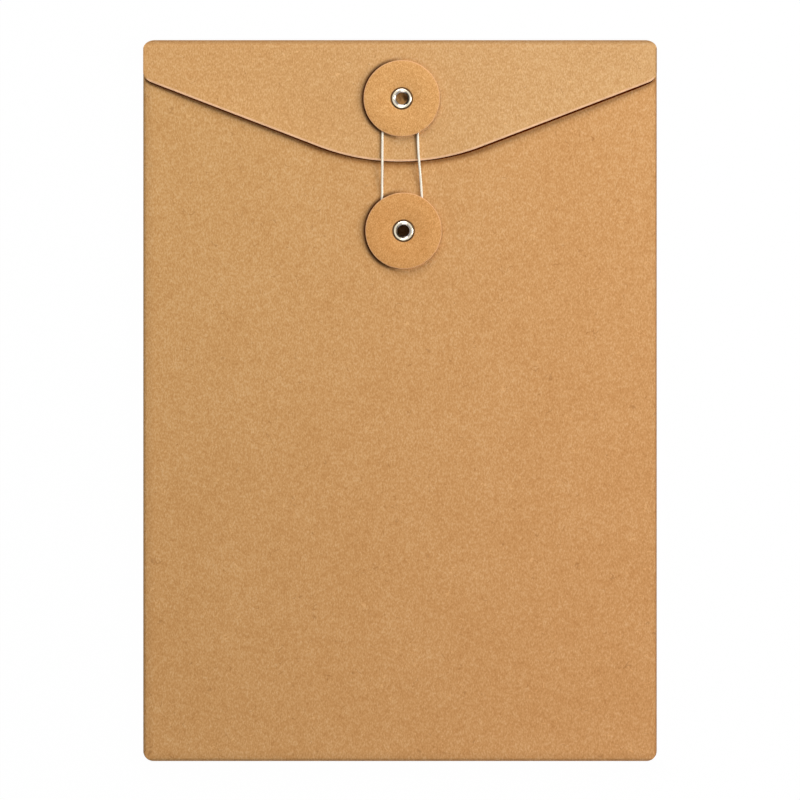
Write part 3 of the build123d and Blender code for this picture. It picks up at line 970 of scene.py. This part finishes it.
def nickel(name, hub, dark, bright, shade_bearing, shade_start):
    """Plated metal with fine handling marks, and painted shade on one side of its hub, outside a
    radius.
    """
    finish = Finish(name)
    marks = finish.noise(finish.mapped((1.0, 1.0, 0.2)), 0.35 * MM, 4.0, 0.65)
    body = finish.ramp(marks, ((0.3, dark), (0.7, bright)))
    # Painted shade on one side of the hub
    reach, lean = finish.bearing_from(hub, shade_bearing)
    outside = finish.range(reach, shade_start, shade_start + 0.25 * MM)
    side_shade = finish.product(finish.range(lean, 0.0, 0.7), outside)
    body = finish.tint(body, side_shade, (0.10, 0.08, 0.06))
    roughness = finish.range(marks, 0.3, 0.75, 0.10, 0.26)
    finish.surface({"Base Color": body, "Roughness": roughness, "Metallic": 1.0})
    finish.bump(marks, 0.004 * MM)
    return finish.material


def eyelet_metals(owner, hub, lip_bearing):
    """Painted shade on the bead's left flank, and darker metals painted as shade for the edges and for
    the lip and bore, with more towards the lip's own bearing.
    """
    left = radians(165)
    looks = (
        ("bead", (0.66, 0.59, 0.44), (0.84, 0.76, 0.59), left, 4.3 * MM),
        ("dull_edge", (0.05, 0.04, 0.03), (0.16, 0.13, 0.10), left, 4.0 * MM),
        ("worn_lip", (0.30, 0.27, 0.24), (0.52, 0.47, 0.42), lip_bearing, 2.0 * MM),
    )
    return [nickel(f"{owner}_{name}", hub, *look) for name, *look in looks]


def cotton(name):
    """Soft white yarn: fine hairs across the plies."""
    finish = Finish(name)
    hairs = finish.noise(finish.place, 0.12 * MM, 3.0, 0.6)
    body = finish.ramp(hairs, ((0.2, (0.84, 0.77, 0.62)), (0.7, (0.98, 0.92, 0.77))))
    finish.surface({"Base Color": body, "Roughness": 0.92, "Specular IOR Level": 0.2})
    finish.surface({"Sheen Weight": 0.25})
    finish.bump(hairs, 0.05 * MM)
    return finish.material


def dried_glue(name):
    """A thin amber film, a little uneven."""
    finish = Finish(name)
    flow = finish.noise(finish.place, 4 * MM)
    body = finish.ramp(flow, ((0.3, (0.50, 0.36, 0.17)), (0.7, (0.66, 0.52, 0.29))))
    finish.surface({"Base Color": body, "Roughness": finish.range(flow, 0.3, 0.7, 0.25, 0.5)})
    finish.bump(flow, 0.05 * MM)
    return finish.material


pocket_colour, flap_colour = (0.584, 0.321, 0.121), (0.602, 0.326, 0.124)
# Painted light towards the right, painted shadows beside the strands and painted shade towards the
# bottom
pocket_right_light, flap_right_sheen = (1.02, 0.96, 0.96), (1.01, 1.06, 1.16)
pocket_strand_shadow, flap_strand_shadow = (0.88, 0.86, 0.84), (0.46, 0.46, 0.46)
pocket_low_shade = (0.96, 0.92, 0.90)
pocket_face = pocket_card("pocket_card", pocket_colour, pocket_right_light, pocket_low_shade, pocket_strand_shadow)
flap_card = envelope_card("flap_card", flap_colour, flap_right_sheen, flap_hub, flap_high.z, flap_strand_shadow)[0]
flap_face = flap_card.material
kraft_cut = cut_card("kraft_cut_edge", (0.80, 0.49, 0.28))
# A near-black cut edge, painted as the shadow under the flap's edge
kraft_shadow_lip = cut_card("kraft_painted_shadow_lip", (0.078, 0.012, 0.001))
flap_disc_face = disc_card("flap_disc_card", (0.640, 0.327, 0.111), 20)
pocket_disc_face = disc_card("pocket_disc_card", (0.606, 0.293, 0.094), -35)
# The disc's cut rim, a ring of painted shade in the groove round its eyelet, and its worn corner
disc_edges = (
    cut_card("disc_cut_edge", (0.56, 0.29, 0.11)),
    cut_card("disc_groove_shade", (0.22, 0.11, 0.045)),
    cut_card("disc_worn_corner", (0.73, 0.40, 0.19)),
)
white_cotton = cotton("white_cotton")
amber_glue = dried_glue("dried_glue")

# Pieces, each on the body that carries it
pocket_nodes = ("front_panel", "back_panel", "bottom_fold", "left_side_fold", "right_side_fold")
pocket_nodes += ("left_glue_tab", "right_glue_tab")
pocket = pocket_sheet(pocket_face, kraft_cut)
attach(pocket, "pocket")
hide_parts(*pocket_nodes)

flap = flap_sheet(flap_face, kraft_cut, kraft_shadow_lip)
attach(flap, "flap")
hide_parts("flap")

flap_fold = flap_fold_sheet(flap_face, kraft_cut)
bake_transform(flap_fold)
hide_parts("flap_fold")

# Each bore takes one of the darker metals, painted as shade down the hole, and a bearing for its lip's
# painted shade
closures = (("flap", flap_disc_face, 2, -10), ("pocket", pocket_disc_face, 1, 215))
for owner, disc_face, bore_slot, lip_turn in closures:
    disc = card_disc(f"{owner}_card_disc", f"{owner}_disc", (disc_face, *disc_edges))
    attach(disc, f"{owner}_disc")
    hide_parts(f"{owner}_disc")
    metals = eyelet_metals(owner, middle(f"{owner}_eyelet"), radians(lip_turn))
    eyelet = rolled_eyelet(f"{owner}_rolled_eyelet", f"{owner}_eyelet", metals, bore_slot)
    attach(eyelet, owner)
    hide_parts(f"{owner}_eyelet")

for side in ("left", "right"):
    glue_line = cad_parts[f"{side}_seam_glue"]
    glue_line.data.materials.clear()
    glue_line.data.materials.append(amber_glue)

route_line = spline("string_route", string_route())
route_path = [tuple(vertex.co) for vertex in evaluated_mesh(route_line).vertices]
string = laid_string("laid_string", route_line, white_cotton, string_crown, string_lay, string_step)
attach(string, "flap")
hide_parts("tie_string")

knot_line = spline("knot_route", knot_route(), closed=True)
knot = laid_string("tied_knot", knot_line, white_cotton, knot_crown, knot_lay, knot_step)
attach(knot, "flap")
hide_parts("string_knot")

# Floor, light and camera
scene.view_settings.view_transform = "Standard"


def seen_share(tree):
    """1 where the camera or metal looks at the surroundings; 0 where they only give light."""
    rays = add_node(tree, "ShaderNodeLightPath").outputs
    share = rays["Is Camera Ray"]
    for name in ("Is Glossy Ray", "Is Transmission Ray"):
        share = calculate(tree, "MAXIMUM", share, rays[name])
    return share


def white_floor():
    material = bpy.data.materials.new("white_floor")
    material.use_nodes = True
    tree = material.node_tree
    tree.nodes.clear()
    glow_share = 0.985  # the rest is paint, which keeps a faint shadow
    paint = add_node(tree, "ShaderNodeBsdfDiffuse", {"Color": (0.85, 0.85, 0.85, 1)}).outputs[0]
    glow = add_node(tree, "ShaderNodeEmission", {"Strength": 1.0}).outputs[0]
    share = calculate(tree, "MULTIPLY", seen_share(tree), glow_share)
    both = add_node(tree, "ShaderNodeMixShader", {0: share, 1: paint, 2: glow}).outputs[0]
    add_node(tree, "ShaderNodeOutputMaterial", {"Surface": both})
    size = 15.0
    level = -0.05 * MM
    corners = [(-size, -size, level), (size, -size, level), (size, size, level), (-size, size, level)]
    mesh = bpy.data.meshes.new("floor")
    mesh.from_pydata(corners, [], [(0, 1, 2, 3)])
    mesh.materials.append(material)
    floor = bpy.data.objects.new("floor", mesh)
    scene.collection.objects.link(floor)


def studio_light():
    world = bpy.data.worlds.new("studio")
    world.use_nodes = True
    tree = world.node_tree
    soft_light, seen_light = 0.06, 1.0  # what comes from all round, and what the camera sees there
    levels = {"Value": seen_share(tree), "To Min": soft_light, "To Max": seen_light}
    level = add_node(tree, "ShaderNodeMapRange", levels).outputs[0]
    connect(tree, tree.nodes["Background"], {"Color": (1, 1, 1, 1), "Strength": level})
    scene.world = world

    # Broad lamps, low on the right and beyond the flap fold, and a weak one facing them, each with its
    # bearing, rise, size and power
    distance = 1.5
    lamps = (
        ("right_lamp", 1, 32, 0.8, 16.8),
        ("top_lamp", 95, 35, 1.2, 20.5),
        ("fill_lamp", 262, 45, 0.8, 4.5),
    )
    for name, turn, rise, size, power in lamps:
        bearing, height = radians(turn), radians(rise)
        light = bpy.data.lights.new(name, "AREA")
        light.shape = "DISK"
        light.size = size
        light.energy = power
        lamp = bpy.data.objects.new(name, light)
        direction = Vector((cos(bearing) * cos(height), sin(bearing) * cos(height), sin(height)))
        lamp.location = direction * distance
        lamp.rotation_euler = direction.to_track_quat("Z", "Y").to_euler()
        scene.collection.objects.link(lamp)


def photo_camera():
    """Straight down from far off, so that it hardly converges."""
    view_width = 366.0 * MM
    view_y = 0.23 * MM
    distance = 4.0
    lens = bpy.data.cameras.new("photo_camera")
    lens.lens = lens.sensor_width * distance / view_width
    lens.clip_end = 50
    camera = bpy.data.objects.new("photo_camera", lens)
    camera.location = (0, view_y, front_top + distance)
    scene.collection.objects.link(camera)
    scene.camera = camera


white_floor()
studio_light()
photo_camera()
